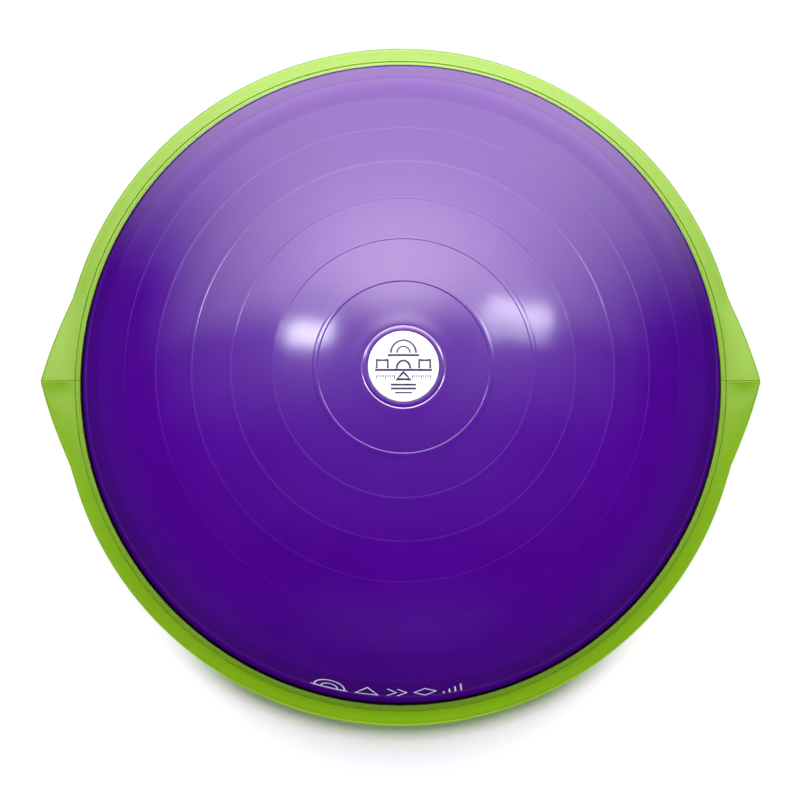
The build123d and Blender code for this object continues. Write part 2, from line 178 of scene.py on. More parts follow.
def ring_grid(around, rows, closed_rows=False):
    """Quads of a grid whose rows run all the way round; rows may also close on themselves."""
    faces = []
    for j in range(rows if closed_rows else rows - 1):
        row, above = j * around, (j + 1) % rows * around
        for i in range(around):
            beside = (i + 1) % around
            faces.append((row + i, row + beside, above + beside, above + i))
    return faces


def cap_ends(verts, faces, around, first_z, last_z):
    """Closes the first and last rings with fans to a point on the axis."""
    last_ring = len(verts) - around
    verts.append((0, 0, first_z))
    faces += [(len(verts) - 1, (i + 1) % around, i) for i in range(around)]
    verts.append((0, 0, last_z))
    faces += [
        (len(verts) - 1, last_ring + i, last_ring + (i + 1) % around) for i in range(around)
    ]


def smoothstep(value, start, end):
    share = np.clip((value - start) / (end - start), 0, 1)
    return share * share * (3 - 2 * share)


# ------------------------------------------------------------------ dome
# a fine table of the ellipse, to look points up by arc length from the crown
_slant = np.linspace(0, math.pi / 2, 40001)
_steps = np.hypot(
    np.diff(DOME_R * np.sin(_slant)), np.diff(EQUATOR_Z + RISE * np.cos(_slant))
)
_arc = np.concatenate([[0], np.cumsum(_steps)])


def dome_line(arc):
    """Radius, height and outward normal (radial, up) of the smooth dome at arcs from the crown."""
    slant = np.interp(arc, _arc, _slant)
    radial, up = RISE * np.sin(slant), DOME_R * np.cos(slant)
    length = np.hypot(radial, up)
    radius = DOME_R * np.sin(slant)
    height = EQUATOR_Z + RISE * np.cos(slant)
    return radius, height, radial / length, up / length


def ring_relief(arc, centre, size):
    """A moulded ring: a sharp step on the crown side, a flat top and a soft fall outwards."""
    rise = smoothstep(arc, centre - 2.35 * MM, centre - 1.45 * MM)
    quick_fall = smoothstep(arc, centre + 0.7 * MM, centre + 2.8 * MM)
    slow_fall = smoothstep(arc, centre + 1.2 * MM, centre + 13 * MM)
    return size * RING_HEIGHT * rise * (1 - (0.52 * quick_fall + 0.48 * slow_fall))


def dome_relief(arc):
    """How far the skin stands off the smooth dome: the rings, and the steps round the badge."""
    relief = np.zeros_like(arc)
    for centre, size in RINGS:
        relief += ring_relief(arc, centre, size)
    # a lip that slopes away from the badge, then one fine step up to the free skin
    relief += 0.30 * MM * (1 - smoothstep(arc, 32.3 * MM, 34.2 * MM))
    step = smoothstep(arc, 34.35 * MM, 35.2 * MM)
    relief += 0.27 * MM * step * (1 - smoothstep(arc, 36.2 * MM, 46 * MM))
    return relief


def dome_stations():
    """Arcs of the free dome's rows, dense by the badge and across each ring."""
    dense = list(np.linspace(30.6 * MM, 38.0 * MM, 30))
    for centre, _ in RINGS:
        dense += list(np.linspace(centre - 2.6 * MM, centre - 1.2 * MM, 11))
        dense += list(np.linspace(centre - 0.9 * MM, centre + 3.1 * MM, 13))
    coarse = [
        arc
        for arc in np.arange(40.0 * MM, COLLAR_ARC, 4.0 * MM)
        if all(not (ring - 3.6 * MM < arc < ring + 4.0 * MM) for ring, _ in RINGS)
    ]
    arcs = np.array(sorted(set(coarse + dense + [COLLAR_ARC])))
    return arcs[np.concatenate([[True], np.diff(arcs) > 0.02 * MM])]


def skirt_line():
    """The collar and skirt below the free dome: points (radius, height) down to the foot."""
    radius, height, radial, up = (float(v[0]) for v in dome_line(np.array([COLLAR_ARC])))
    points = [
        (
            radius + 0.10 * MM + 0.9 * COLLAR_STEP * radial,
            height - 0.15 * MM + 0.9 * COLLAR_STEP * up,
        ),
        (radius + 0.55 * MM + COLLAR_STEP * radial, height - 0.62 * MM + COLLAR_STEP * up),
    ]
    # the collar, nearly straight, with the least fullness of an inflated skin
    start = points[-1]
    for share in np.linspace(0, 1, 9)[1:]:
        full = COLLAR_FULLNESS * math.sin(math.pi * share)
        points.append(
            (
                start[0] + (COLLAR_BEND[0] - start[0]) * share + full * 0.83,
                start[1] + (COLLAR_BEND[1] - start[1]) * share + full * 0.56,
            )
        )
    # a smooth turn into the skirt (quadratic curve)
    control = (
        COLLAR_BEND[0] + TURN_LEAD * math.cos(TURN_SLOPE),
        COLLAR_BEND[1] - TURN_LEAD * math.sin(TURN_SLOPE),
    )
    turn_end = tuple(edge + 0.10 * (foot - edge) for edge, foot in zip(COLLAR_EDGE, SKIRT_FOOT))
    for share in np.linspace(0, 1, 13)[1:]:
        rest = 1 - share
        points.append(
            tuple(
                rest**2 * first + 2 * share * rest * middle + share**2 * last
                for first, middle, last in zip(COLLAR_BEND, control, turn_end)
            )
        )
    for share in np.linspace(0, 1, 9)[1:]:
        points.append(
            tuple(top + (foot - top) * share for top, foot in zip(turn_end, SKIRT_FOOT))
        )
    return points


def badge_recess(skin_z):
    """Profile from under the badge up to the height where the free skin starts."""
    seat_r = BADGE_R + 0.5 * MM
    return [
        (seat_r - 6 * MM, BADGE_SEAT),
        (seat_r - 0.35 * MM, BADGE_SEAT),
        (seat_r, BADGE_SEAT + 0.12 * MM),
        (seat_r + 0.10 * MM, skin_z - 0.30 * MM),
        (seat_r + 0.22 * MM, skin_z - 0.06 * MM),
    ]


def foot_and_lining():
    """Profile round the foot's bead and back up inside the dome."""
    foot_r = SKIRT_FOOT[0]
    chamfer = 0.8 * MM
    points = [
        (foot_r + 0.6 * MM, 51.5 * MM),
        (foot_r + 0.8 * MM, 47.5 * MM),
        (foot_r + 0.9 * MM, BEAD_TOP + 1.2 * MM),
        (DOME_R + 0.5 * MM, BEAD_TOP + 0.35 * MM),
        (DOME_R + 1.2 * MM, BEAD_TOP),
        (BEAD_R - chamfer, BEAD_TOP),
        (BEAD_R, BEAD_TOP - chamfer),
        (BEAD_R, BEAD_BOTTOM + chamfer),
        (BEAD_R - chamfer, BEAD_BOTTOM),
        (DOME_R - WALL - 1.2 * MM, BEAD_BOTTOM),
        (DOME_R - WALL - 1.5 * MM, BEAD_BOTTOM + 0.3 * MM),
        (foot_r - WALL - 0.2 * MM, 55 * MM),
        (COLLAR_EDGE[0] - WALL - 0.6 * MM, 93 * MM),
    ]
    for slant in np.linspace(1.25, 0.02, 30):
        points.append(
            (
                (DOME_R - WALL) * math.sin(slant) - 1.2 * MM * slant,
                EQUATOR_Z + (RISE - WALL) * math.cos(slant) - 1.0 * MM * slant,
            )
        )
    return points


def skin_swell(x, y, z, radius):
    """Unevenness of the inflated skin, faded out near the badge and the collar."""
    point = Vector((x, y, z))
    fade_in = min(1.0, max(0.0, (radius - 0.04) / 0.05))
    fade_out = min(1.0, max(0.0, (0.27 - radius) / 0.03))
    broad = noise.noise(point * 7.0) * 0.30
    fine = noise.noise(point * 15.0 + Vector((3, 5, 7))) * 0.08
    return (broad + fine) * MM * fade_in * fade_out


def skirt_shine_and_painted_shade(height, backward):
    """(open_skin, painted_shade_mask) on the collar and skirt: the shine, and the share of colour
    left by painted shade; backward is 1 facing +Y, -1 facing -Y.
    """
    # the turn is duller where it faces the front
    raised = 6.5 * MM * (1 - smoothstep(backward, 0.15, 0.75))
    shine = smoothstep(height, 94.5 * MM + raised, 103.5 * MM + raised * 0.8)
    # painted shade: darkest where the skin meets the rim, dimmer down the skirt below the collar,
    # and a painted dark line along the turn towards the back
    unshaded_share = smoothstep(height, 49.0 * MM, 60.0 * MM)
    unshaded_share *= 0.62 + 0.38 * smoothstep(height, 76.0 * MM, 97.0 * MM)
    turn = smoothstep(height, 87.5 * MM, 91.5 * MM)
    turn *= 1 - smoothstep(height, 94.5 * MM, 97.5 * MM)
    return shine, unshaded_share * (1 - 0.8 * turn * smoothstep(backward, -0.25, 0.35))


def boss_share(radius):
    """1 on the narrow band of skin round the badge, less inside it and 0 outside."""
    step = smoothstep(radius, 33.6 * MM, 34.2 * MM)
    return (0.3 + 0.7 * step) * (1 - smoothstep(radius, 35.1 * MM, 35.6 * MM))


def build_dome():
    arcs = dome_stations()
    radii, heights, radial, up = dome_line(arcs)
    relief = dome_relief(arcs)
    free = list(zip(radii + relief * radial, heights + relief * up))
    head = badge_recess(free[0][1])
    skirt = skirt_line()
    profile = head + free + skirt + foot_and_lining()
    first_free = len(head)
    first_skirt = first_free + len(free)
    first_foot = first_skirt + len(skirt)
    verts, open_skin, painted_shade_mask, boss = [], [], [], []
    for j, (radius, height) in enumerate(profile):
        near_badge = boss_share(radius) if j < first_foot else 0.0
        for angle in np.arange(DOME_AROUND) * 2 * math.pi / DOME_AROUND:
            cosine, sine = math.cos(angle), math.sin(angle)
            x, y, z = radius * cosine, radius * sine, height
            if first_free <= j < first_skirt:
                swell = skin_swell(x, y, z, radius)
                x += swell * radial[j - first_free] * cosine
                y += swell * radial[j - first_free] * sine
                z += swell * up[j - first_free]
            if j < first_skirt:
                shine = unshaded_share = 1.0
            elif j < first_foot:
                shine, unshaded_share = skirt_shine_and_painted_shade(height, sine)
            else:
                # painted shade: the foot's bead and the lining are painted near black, with no
                # shine
                shine = unshaded_share = 0.0
            verts.append((x, y, z))
            open_skin.append(shine)
            painted_shade_mask.append(unshaded_share)
            boss.append(near_badge)
    faces = ring_grid(DOME_AROUND, len(profile))
    cap_ends(verts, faces, DOME_AROUND, BADGE_SEAT, profile[-1][1])
    # the last two values of each layer are for the caps' centres
    point_values = {
        "open_skin": open_skin + [1.0, 0.0],
        "painted_shade_mask": painted_shade_mask + [1.0, 0.0],
        "boss": boss + [0.0, 0.0],
    }
    return make_shell("dome_skin", verts, faces, 60, point_values)


# ------------------------------------------------------------------ badge
def badge_z(radius):
    """Height of the badge's domed face at a radius."""
    share = min(max(radius / BADGE_R, 0.0), 1.0)
    return BADGE_TOP - (BADGE_TOP - BADGE_EDGE) * share**2


def build_badge():
    profile = [
        (BADGE_R - 0.3 * MM, BADGE_SEAT),
        (BADGE_R, BADGE_SEAT + 0.3 * MM),
        (BADGE_R, BADGE_EDGE - 0.62 * MM),
        (BADGE_R - 0.08 * MM, BADGE_EDGE - 0.36 * MM),
        (BADGE_R - 0.26 * MM, BADGE_EDGE - 0.12 * MM),
        (BADGE_R - 0.55 * MM, BADGE_EDGE + 0.02 * MM),
    ]
    line_share = 0.965  # fine moulded line just inside the rim
    shares = (0.972, line_share, 0.957, 0.93, 0.89, 0.84, 0.78, 0.7, 0.6, 0.5, 0.4, 0.3, 0.2, 0.1)
    for share in shares:
        radius = BADGE_R * share
        depth = 0.14 * MM if share == line_share else 0.0
        profile.append((radius, badge_z(radius) - depth))
    verts = []
    for radius, height in profile:
        for i in range(BADGE_AROUND):
            angle = 2 * math.pi * i / BADGE_AROUND
            verts.append((radius * math.cos(angle), radius * math.sin(angle), height))
    faces = ring_grid(BADGE_AROUND, len(profile))
    cap_ends(verts, faces, BADGE_AROUND, BADGE_SEAT, BADGE_TOP)
    return make_shell("badge_disc", verts, faces, 35)


# ------------------------------------------------------------------ printed marks
class Ink:
    """Strokes of a flat drawing, in millimetres, laid over a surface as a thin closed layer.

    place(across, up, lift) gives the point for a spot of the drawing, all in millimetres.
    """

    # heights across a stroke's top and underside, and the order of its points round the section
    LEVELS = ((INK_LIFT * 0.35, INK_LIFT, INK_LIFT * 0.35), (-INK_SUNK,) * 3)
    LOOP = (0, 1, 2, 5, 4, 3)

    def __init__(self, place):
        self.place = place
        self.verts, self.faces = [], []

    def stroke(self, points, width, closed=False):
        points = [Vector(point) for point in points]
        count = len(points)
        base = len(self.verts)
        for i, point in enumerate(points):
            if closed:
                before, after = points[i - 1], points[(i + 1) % count]
            else:
                before, after = points[max(i - 1, 0)], points[min(i + 1, count - 1)]
            along = after - before
            along = along.normalized() if along.length > 1e-9 else Vector((1, 0))
            normal = Vector((-along.y, along.x))
            # a corner is widened so that both its legs keep their width
            leg_in, leg_out = point - before, after - point
            widen = 1.0
            if leg_in.length > 1e-9 and leg_out.length > 1e-9:
                cosine = leg_in.normalized().dot(leg_out.normalized())
                widen = 1.0 / max(0.5, math.sqrt(max(0.0, (1 + cosine) / 2)))
            for lifts in self.LEVELS:
                for j, lift in enumerate(lifts):
                    spot = point + normal * ((j / 2 - 0.5) * width * widen)
                    self.verts.append(self.place(spot.x, spot.y, lift))
        row = len(self.LOOP)
        for i in range(count if closed else count - 1):
            here, there = base + i * row, base + (i + 1) % count * row
            for j in range(row):
                first, second = self.LOOP[j], self.LOOP[(j + 1) % row]
                self.faces.append((here + first, there + first, there + second, here + second))
        if not closed:
            last = base + (count - 1) * row
            self.faces.append(tuple(base + k for k in self.LOOP))
            self.faces.append(tuple(last + k for k in reversed(self.LOOP)))

    def arch(self, x, y, half_width, height, width, steps):
        """The upper half of an ellipse about x, y."""
        angles = [math.radians(180 * i / steps) for i in range(steps + 1)]
        self.stroke(
            [(x + half_width * math.cos(a), y + height * math.sin(a)) for a in angles], width
        )

    def line(self, x0, y0, x1, y1, width, steps):
        shares = [i / steps for i in range(steps + 1)]
        self.stroke([(x0 + (x1 - x0) * k, y0 + (y1 - y0) * k) for k in shares], width)

    def build(self, name):
        return make_shell(name, self.verts, self.faces, 50)


def place_on_badge(across, up, lift):
    x, y = across * MM, up * MM
    return (x, y, badge_z(math.hypot(x, y)) + lift * MM)


def build_badge_mark():
    """A dome on a bar, above a level beam, a ruled scale and short rules."""
    ink = Ink(place_on_badge)
    # dome on its bar
    ink.arch(0, 11.0, half_width=10.4, height=10.6, width=1.7, steps=48)
    ink.arch(0, 11.0, half_width=5.4, height=5.4, width=1.4, steps=36)
    ink.line(-13.0, 9.1, 13.0, 9.1, width=1.9, steps=26)
    # level beam with a block near either end, an arch and a triangle in the middle
    ink.line(-23.6, -3.2, 23.6, -3.2, width=1.9, steps=48)
    for x in (-17.6, 17.6):
        block = [(x - 4.6, -1.8), (x - 4.6, 5.0), (x + 4.6, 5.0), (x + 4.6, -1.8)]
        ink.stroke(block, width=1.7)
    ink.arch(0, -2.0, half_width=5.6, height=6.6, width=1.7, steps=32)
    triangle = [(-5.6, -11.0), (-2.8, -8.0), (0, -5.0), (2.8, -8.0), (5.6, -11.0), (0, -11.0)]
    ink.stroke(triangle, width=1.6, closed=True)
    # ruled scale, left open under the triangle
    for i in range(-12, 13):
        if abs(i) > 3:
            tall = 3.0 if i % 4 == 0 else 1.7
            ink.line(i * 1.85, -7.4 - tall, i * 1.85, -7.4, width=0.75, steps=4)
    # three short rules
    ink.line(-10.4, -15.4, 10.4, -15.4, width=1.5, steps=20)
    ink.line(-10.4, -18.6, 10.4, -18.6, width=1.5, steps=20)
    ink.line(-7.0, -22.0, 7.0, -22.0, width=1.1, steps=14)
    return ink.build("badge_mark")


_skirt_r, _skirt_z = np.array(skirt_line()).T
_skirt_run = np.concatenate([[0], np.cumsum(np.hypot(np.diff(_skirt_r), np.diff(_skirt_z)))])


def place_on_front(across, up, lift):
    """Low on the dome's front: across runs to +X and up towards the crown."""
    run = FRONT_BASELINE_RUN - up * MM
    radius = float(np.interp(run, _skirt_run, _skirt_r))
    height = float(np.interp(run, _skirt_run, _skirt_z))
    bearing = -math.pi / 2 + across * MM / FRONT_RADIUS
    radius += lift * MM * math.cos(FRONT_LIFT_SLOPE)
    height += lift * MM * math.sin(FRONT_LIFT_SLOPE)
    return (radius * math.cos(bearing), radius * math.sin(bearing), height)


def build_front_mark():
    """The same dome beside a row of plain shapes, a pale print low on the front."""
    ink = Ink(place_on_front)
    # dome on its bar
    ink.arch(-64.5, -6.6, half_width=13.6, height=14.2, width=FRONT_LINE, steps=52)
    ink.arch(-64.5, -6.6, half_width=7.2, height=7.6, width=FRONT_LINE, steps=40)
    ink.line(-81.0, -8.0, -48.0, -8.0, width=FRONT_LINE + 0.5, steps=34)
    triangle = [(-41, -7.6), (-36.0, -0.6), (-31, 6.4), (-26.0, -0.6), (-21, -7.6), (-31, -7.6)]
    ink.stroke(triangle, FRONT_LINE, closed=True)
    for x in (-13.0, -4.0):
        chevron = [(x, 6.6), (x + 4.0, 3.0), (x + 8.0, -0.6), (x + 4.0, -4.2), (x, -7.8)]
        ink.stroke(chevron, FRONT_LINE)
    diamond = [
        (11.0, -0.6), (15.8, 3.0), (20.6, 6.6), (25.4, 3.0),
        (30.2, -0.6), (25.4, -4.2), (20.6, -7.8), (15.8, -4.2),
    ]
    ink.stroke(diamond, FRONT_LINE, closed=True)
    # rising bars
    for i, x in enumerate((37.0, 42.2, 47.4, 52.6)):
        ink.line(x, -7.8, x, -3.4 + 3.4 * i, width=FRONT_LINE, steps=10)
    return ink.build("front_mark")


# ------------------------------------------------------------------ rim cover
def grip_radius(deg):
    """Radius of a grip's outline at an angle from its tip."""
    slope = math.tan(math.radians(deg))

    def outline_x(y):
        return TIP_X / MM - 0.26 * y - 0.0013 * y * y

    y = 0.0
    for _ in range(60):
        y = slope * outline_x(y)
    return math.hypot(outline_x(y), y) * MM


def rim_angles():
    """Angles round the rim, close on the crests and where the grips leave the round rim."""
    quarter = [0.0, 0.03, 0.06, 0.09, 0.14, 0.22, 0.34, 0.5, 0.7, 0.95, 1.25, 1.6, 2.0, 2.5, 3.0]
    quarter += list(np.arange(3.5, 13.6, 0.5))
    quarter += [13.9, 14.2, 14.45, 14.65, 14.8, 14.95, 15.15, 15.4, 15.8, 16.4, 17.2]
    quarter += list(np.linspace(18.2, 90.0, 62))
    there = np.array(quarter)
    back = there[:0:-1]
    whole = np.concatenate([there[:-1], 180 - back, 180 + there[:-1], 360 - back])
    return np.unique(np.round(whole, 4))


def outline(deg):
    """(radius, edge height, distance from the crest, grip amount 0..1) at an angle."""
    from_tip = abs((deg + 90) % 180 - 90)
    radius = PLATFORM_R
    if from_tip < GRIP_HALF_DEG + 1.2:
        grip_r = grip_radius(from_tip)
        beyond = grip_r - PLATFORM_R
        radius += 0.5 * (beyond + math.hypot(beyond, GRIP_BLEND))
        radius = min(radius, max(grip_r, PLATFORM_R) + 0.3 * MM)
    share = min(1.0, from_tip / GRIP_HALF_DEG)
    fall = share * share * (3 - 2 * share)
    edge_z = TIP_EDGE_Z + (EDGE_Z - TIP_EDGE_Z) * fall
    return radius, edge_z, 0.335 * math.sin(math.radians(from_tip)), 1 - fall


def crest_rise(deg, off_crest, grip):
    """How far a grip's ridge lifts the band."""
    if math.sin(math.radians(deg)) >= 0:
        # a long gentle crown on the back half
        return grip * CREST_HEIGHT * math.exp(-off_crest / (34.0 * MM))
    # a quick fold down on the front half, and a shallow dip beyond it
    fold = grip * CREST_HEIGHT * math.exp(-off_crest / (4.2 * MM))
    dip = grip * 0.75 * MM * math.exp(-(((off_crest - 14 * MM) / (10 * MM)) ** 2))
    return fold - dip * min(1.0, off_crest / (4.0 * MM))


# the groove between lip and band: mm out from GROOVE_R, mm up from LIP_TOP, share of the crest line
GROOVE = (
    (-1.05, -0.08, 1), (-0.75, -0.2, 1), (-0.5, -0.62, 1), (-0.3, -1.15, 0.5),
    (0.0, -1.35, 0.5), (0.22, -1.15, 0.5), (0.38, -0.72, 1), (0.62, -0.5, 1),
)


def cover_section(deg):
    """Points (radius, height) from the foot of the lip over the top, down and back inside."""
    radius, edge_z, off_crest, grip = outline(deg)
    corner = radius - EDGE_ROUND
    cut = CREST_LINE * max(0.0, 1 - off_crest / (0.6 * MM))
    crest = crest_rise(deg, off_crest, grip)
    lip_r = LIP_R - 0.1 * MM

    # lip
    rows = [
        (LIP_R, BEAD_TOP + 0.1 * MM),
        (LIP_R, BEAD_TOP + 0.9 * MM),
        (lip_r, LIP_TOP - 0.9 * MM),
    ]
    for turn in (20, 40, 60, 80):
        angle = math.radians(turn)
        rows.append(
            (
                lip_r + LIP_ROUND * (1 - math.cos(angle)),
                LIP_TOP - LIP_ROUND * (1 - math.sin(angle)) - cut,
            )
        )
    rows += [(LIP_R + 0.9 * MM, LIP_TOP - cut), (LIP_R + 2.0 * MM, LIP_TOP - 0.05 * MM - cut)]
    for out, up, cut_share in GROOVE:
        rows.append((GROOVE_R + out * MM, LIP_TOP + up * MM - cut * cut_share))

    # band, very slightly crowned, lifted by the crest on a grip
    start_r, start_z = BAND_R + 0.5 * MM, BAND_Z - 0.12 * MM
    for i in range(1, BAND_STEPS + 1):
        share = i / (BAND_STEPS + 1)
        height = start_z + (edge_z - start_z) * share
        height += 0.18 * MM * math.sin(math.pi * share)
        height += crest * math.sin(math.pi * min(1.0, share * 0.93)) ** 0.8
        rows.append((start_r + (corner - start_r) * share, height - cut))

    # rounded outer edge
    for turn in (0, 12, 25, 38, 51, 64, 77, 90):
        cosine, sine = math.cos(math.radians(turn)), math.sin(math.radians(turn))
        rows.append(
            (
                corner + (EDGE_ROUND - cut * 0.6) * sine,
                edge_z - EDGE_ROUND * (1 - cosine) + (crest * 0.22 - cut) * cosine,
            )
        )

    # outer wall, bottom edge, and back inside to the hook over the dome's bead
    wall_r = radius - cut * 0.6
    slope = (BAND_Z - edge_z) / (corner - BAND_R)
    rows += [
        (wall_r - 0.08 * MM, edge_z - EDGE_ROUND - 1.6 * MM),
        (wall_r - 0.2 * MM, PART_LINE_Z + 1.6 * MM),
        (wall_r - 0.3 * MM, PART_LINE_Z + 0.45 * MM),
        (radius - 0.5 * MM, PART_LINE_Z + 0.12 * MM),
        (radius - 0.8 * MM, PART_LINE_Z),
        (radius - COVER_WALL, PART_LINE_Z),
        (radius - COVER_WALL, edge_z - COVER_DEPTH),
        (HOOK_R, BAND_Z - slope * (HOOK_R - BAND_R) - COVER_DEPTH),
        (HOOK_R, HOOK_Z),
        (BEAD_R + HOOK_GAP, HOOK_Z),
        (BEAD_R + HOOK_GAP, BEAD_TOP + 0.1 * MM),
    ]
    return rows


def build_rim():
    angles = rim_angles()
    sections = [cover_section(deg) for deg in angles]
    verts = []
    for row in zip(*sections):
        for deg, (radius, height) in zip(angles, row):
            angle = math.radians(deg)
            verts.append((radius * math.cos(angle), radius * math.sin(angle), height))
    faces = ring_grid(len(angles), len(sections[0]), closed_rows=True)
    return make_shell("rim_cover_moulding", verts, faces, 32)


# ------------------------------------------------------------------ shader helpers
class Nodes:
    """Short ways to wire a node tree; a value is a number, an RGB colour or an output."""

    def __init__(self, tree):
        self.tree = tree

    def new(self, kind, **settings):
        node = self.tree.nodes.new(kind)
        for key, value in settings.items():
            setattr(node, key, value)
        return node

    def link(self, source, target):
        self.tree.links.new(source, target)

    def feed(self, socket, value):
        if isinstance(value, bpy.types.NodeSocket):
            self.link(value, socket)
        else:
            socket.default_value = (*value, 1.0) if isinstance(value, tuple) else value

    def calc(self, operation, first, second=0.0):
        node = self.new("ShaderNodeMath", operation=operation)
        self.feed(node.inputs[0], first)
        self.feed(node.inputs[1], second)
        return node.outputs[0]

    def remap(self, value, span, to=(0.0, 1.0)):
        """Carries the span over to another, held at its ends."""
        node = self.new("ShaderNodeMapRange")
        for key, number in zip(("From Min", "From Max", "To Min", "To Max"), (*span, *to)):
            node.inputs[key].default_value = number
        self.link(value, node.inputs["Value"])
        return node.outputs["Result"]

    def ease(self, value, span, to=(0.0, 1.0)):
        """The same with soft ends."""
        result = self.remap(value, span, to)
        result.node.interpolation_type = "SMOOTHSTEP"
        return result

    def mix_shader(self, share, first, second):
        node = self.new("ShaderNodeMixShader")
        for socket, source in zip(node.inputs, (share, first, second)):
            self.link(source, socket)
        return node.outputs[0]

    def glow(self, kind, colour, strength):
        """An Emission or Background shader."""
        node = self.new(kind)
        self.feed(node.inputs["Color"], colour)
        self.feed(node.inputs["Strength"], strength)
        return node.outputs[0]

    def level_length(self, x, y):
        squares = self.calc("ADD", self.calc("MULTIPLY", x, x), self.calc("MULTIPLY", y, y))
        return self.calc("SQRT", squares)

    def share_of(self, value, length, least):
        return self.calc("DIVIDE", value, self.calc("MAXIMUM", length, least))

    def narrow_lobe(self, x, y, length, least):
        """1 towards the back, turned a little to +X, falling to 0 at the sides."""
        turned = self.calc(
            "ADD", self.calc("MULTIPLY", y, 0.9962), self.calc("MULTIPLY", x, 0.0872)
        )
        across = self.calc("MAXIMUM", self.share_of(turned, length, least), 0.0)
        return self.ease(across, span=(0.28, 0.97))


class Finish(Nodes):
    """A procedural material on a Principled shader."""

    def __init__(self, name):
        self.material = bpy.data.materials.new(name)
        self.material.use_nodes = True
        super().__init__(self.material.node_tree)
        self.shader = self.find("BSDF_PRINCIPLED")

    def find(self, kind):
        return next(node for node in self.tree.nodes if node.type == kind)

    @cached_property
    def place(self):
        return self.new("ShaderNodeTexCoord").outputs["Object"]

    def noise(self, scale, detail, roughness, distortion=0.0, stretch=None):
        node = self.new("ShaderNodeTexNoise")
        node.inputs["Scale"].default_value = scale
        node.inputs["Detail"].default_value = detail
        node.inputs["Roughness"].default_value = roughness
        node.inputs["Distortion"].default_value = distortion
        vector = self.place
        if stretch:
            mapping = self.new("ShaderNodeMapping")
            mapping.inputs["Scale"].default_value = stretch
            self.link(vector, mapping.inputs["Vector"])
            vector = mapping.outputs["Vector"]
        self.link(vector, node.inputs["Vector"])
        return node.outputs["Fac"]

    def mottle(self, scale, detail, roughness, span, to=(0.0, 1.0), distortion=0.0):
        """Noise with a span of its values carried over to another."""
        return self.remap(self.noise(scale, detail, roughness, distortion), span, to)

    def cells(self, scale):
        node = self.new("ShaderNodeTexVoronoi")
        node.inputs["Scale"].default_value = scale
        self.link(self.place, node.inputs["Vector"])
        return node.outputs["Distance"]

    def point_value(self, name):
        return self.new("ShaderNodeAttribute", attribute_name=name).outputs["Fac"]

    def mix(self, share, first, second):
        """Mixes two colours; a Mix node's colour sockets are inputs 6 and 7 and output 2."""
        node = self.new("ShaderNodeMix", data_type="RGBA")
        self.feed(node.inputs[0], share)
        self.feed(node.inputs[6], first)
        self.feed(node.inputs[7], second)
        return node.outputs[2]

    def set(self, **values):
        for key, value in values.items():
            self.feed(self.shader.inputs[key.replace("_", " ")], value)

    def bump(self, height, distance, strength):
        node = self.new("ShaderNodeBump")
        node.inputs["Distance"].default_value = distance
        node.inputs["Strength"].default_value = strength
        self.link(height, node.inputs["Height"])
        self.set(Normal=node.outputs["Normal"])


# ------------------------------------------------------------------ materials
def pvc_material():
    f = Finish("dome_pvc")
    skin = f.point_value("open_skin")
    unshaded_share = f.point_value("painted_shade_mask")
    boss = f.point_value("boss")
    broad = f.mottle(scale=5.0, detail=3.0, roughness=0.55, span=(0.3, 0.7))
    cloud = f.mottle(scale=34.0, detail=3.0, roughness=0.6, span=(0.35, 0.75), to=(0.0, 0.30))
    tone = f.mix(broad, (0.058, 0.0008, 0.232), (0.072, 0.0012, 0.274))
    tone = f.mix(cloud, tone, (0.082, 0.0017, 0.30))
    # painted shade: the colour falls to near black where the skin dives behind the rim, dims down
    # the skirt, and darkens in a line along the turn at the back
    tone = f.mix(unshaded_share, (0.006, 0.0005, 0.016), tone)
    smudge = f.mottle(
        scale=16.0, detail=5.0, roughness=0.62, distortion=0.6, span=(0.3, 0.75), to=(0.125, 0.175)
    )
    rough = f.calc("ADD", smudge, f.remap(skin, span=(0.0, 1.0), to=(0.5, 0.0)))
    f.set(Base_Color=tone, Roughness=rough, IOR=1.5)
    # seen edge-on the vinyl's haze takes the strength out of its shine
    edge_on = f.new("ShaderNodeLayerWeight")
    edge_on.inputs["Blend"].default_value = 0.5
    dulled = f.ease(edge_on.outputs["Facing"], span=(0.62, 0.86), to=(1.0, 0.0))
    shine = f.remap(skin, span=(0.0, 1.0), to=(0.0, 0.5))
    f.set(Specular_IOR_Level=f.calc("MULTIPLY", shine, dulled))
    # the band round the badge is polished
    f.set(Coat_Weight=f.remap(boss, span=(0.0, 1.0)), Coat_Roughness=0.11, Coat_IOR=1.9)
    # a faint orange peel
    f.bump(f.noise(scale=210.0, detail=1.0, roughness=0.4), distance=0.00003, strength=0.35)
    return f.material


def green_material(name, brightness, grain):
    f = Finish(name)

    def green(*colour):
        return tuple(part * brightness for part in colour)

    broad = f.mottle(scale=7.0, detail=3.0, roughness=0.55, span=(0.3, 0.7))
    cloud = f.mottle(scale=70.0, detail=3.0, roughness=0.6, span=(0.45, 0.75), to=(0.0, 0.3))
    tone = f.mix(broad, green(0.252, 0.515, 0.007), green(0.274, 0.553, 0.010))
    tone = f.mix(cloud, tone, green(0.292, 0.575, 0.016))
    rough = f.mottle(scale=60.0, detail=4.0, roughness=0.6, span=(0.3, 0.75), to=(0.30, 0.39))
    f.set(Base_Color=tone, Roughness=rough, IOR=1.5, Specular_IOR_Level=0.52)
    # fine mould grain
    f.bump(f.cells(scale=1100.0), distance=grain, strength=0.4)
    return f.material


def badge_material():
    f = Finish("badge_print")
    cloud = f.mottle(scale=40.0, detail=3.0, roughness=0.6, span=(0.35, 0.7))
    tone = f.mix(cloud, (0.86, 0.86, 0.85), (0.92, 0.92, 0.925))
    rough = f.mottle(scale=120.0, detail=3.0, roughness=0.6, span=(0.3, 0.7), to=(0.10, 0.17))
    f.set(Base_Color=tone, Roughness=rough, IOR=1.5, Coat_Weight=0.5, Coat_Roughness=0.04)
    f.bump(f.noise(scale=300.0, detail=1.0, roughness=0.4), distance=0.00002, strength=0.3)
    return f.material


